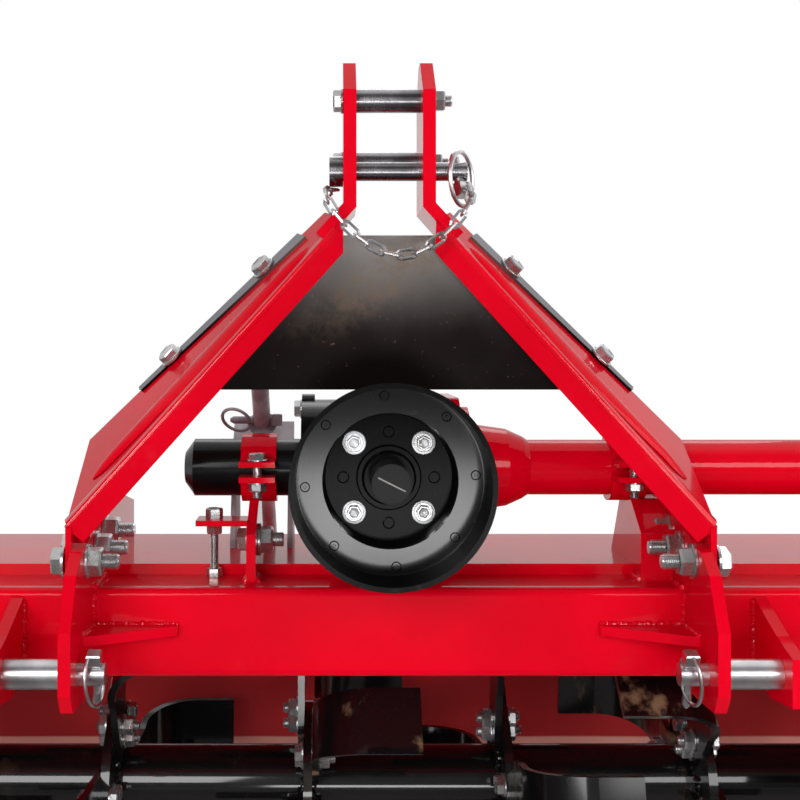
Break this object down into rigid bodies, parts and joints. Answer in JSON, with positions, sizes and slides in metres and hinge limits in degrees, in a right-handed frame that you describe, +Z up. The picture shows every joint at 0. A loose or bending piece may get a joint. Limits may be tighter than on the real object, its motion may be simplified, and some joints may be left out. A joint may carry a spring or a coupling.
{
  "type": "rotary tiller",
  "caption": "Rotary tiller for a three-point hitch: red frame and deck, tined rotor driven by gearbox and side case, braced mast with guard plate, shielded shaft, skids, hinged tailgate.",
  "frame": {"origin": "centre of the machine's footprint box, on the floor under its skids", "axes": "+Z up, -Y forwards to the tractor, +X to the side case"},
  "size_m": [1.466, 0.753, 1.049],
  "materials": {
    "red_paint": "gloss paint",
    "black_paint": "gloss paint",
    "guard_sheet": "dark oiled sheet",
    "black_plastic": "moulded",
    "zinc": "zinc plated",
    "bare_steel": "machined",
    "cap_plastic": "moulded"
  },
  "bodies": {
    "frame": {"main_beam": "red_paint", "deck": "red_paint", "end_plate_left": "red_paint", "end_plate_right": "red_paint", "hitch_plate_left": "red_paint", "hitch_plate_right": "red_paint", "clevis_plate_left": "red_paint", "clevis_plate_right": "red_paint", "hitch_gussets": "red_paint", "lower_pin_left": "zinc", "lower_pin_right": "zinc", "mast_leg_left": "red_paint", "mast_leg_right": "red_paint", "mast_plate_left": "red_paint", "mast_plate_right": "red_paint", "mast_spacers": "zinc", "top_link_pin": "zinc", "retaining_chain": "zinc", "driveline_guard": "guard_sheet", "gearbox": "red_paint", "gearbox_cover": "black_paint", "drive_tube": "red_paint", "idle_cap": "black_paint", "clamp_left_upper": "red_paint", "clamp_left_lower": "red_paint", "clamp_right_upper": "red_paint", "clamp_right_lower": "red_paint", "clamp_post_left": "red_paint", "clamp_post_right": "red_paint", "pto_shield": "black_plastic", "side_case": "red_paint", "side_case_cover": "red_paint", "head_flange": "red_paint", "bearing_hub": "red_paint", "skid_left": "red_paint", "skid_right": "red_paint", "hinge_rod": "zinc", "deck_knuckles": "red_paint", "rod_guide": "zinc"},
    "rotor": {"rotor_shaft": "black_paint", "tines_right": "black_paint", "tines_left": "black_paint"},
    "input": {"input_shaft": "bare_steel", "input_cap": "cap_plastic"},
    "tailgate": {"tailgate": "red_paint", "gate_lugs": "red_paint"},
    "gate_rod": {"gate_rod": "zinc"}
  },
  "joints": [
    {"name": "rotor_spin", "type": "hinge", "parent": "frame", "child": "rotor", "pos_m": [-0.011, -0.0195, 0.237], "axis": [1, 0, 0], "continuous": true},
    {"name": "input_spin", "type": "hinge", "parent": "frame", "child": "input", "pos_m": [-0.041, -0.2585, 0.626], "axis": [0, -1, 0], "continuous": true},
    {"name": "tailgate_lift", "type": "hinge", "parent": "frame", "child": "tailgate", "pos_m": [-0.011, 0.224, 0.3265], "axis": [1, 0, 0], "range_deg": [0, 45]},
    {"name": "gate_rod_pivot", "type": "hinge", "parent": "tailgate", "child": "gate_rod", "pos_m": [-0.18, 0.302, 0.3325], "axis": [1, 0, 0], "range_deg": [-43, 1]}
  ],
  "couplings": [
    {"joint": "input_spin", "follows": "rotor_spin", "ratio": 2.5},
    {"joint": "gate_rod_pivot", "follows": "tailgate_lift", "ratio": -0.924}
  ]
}
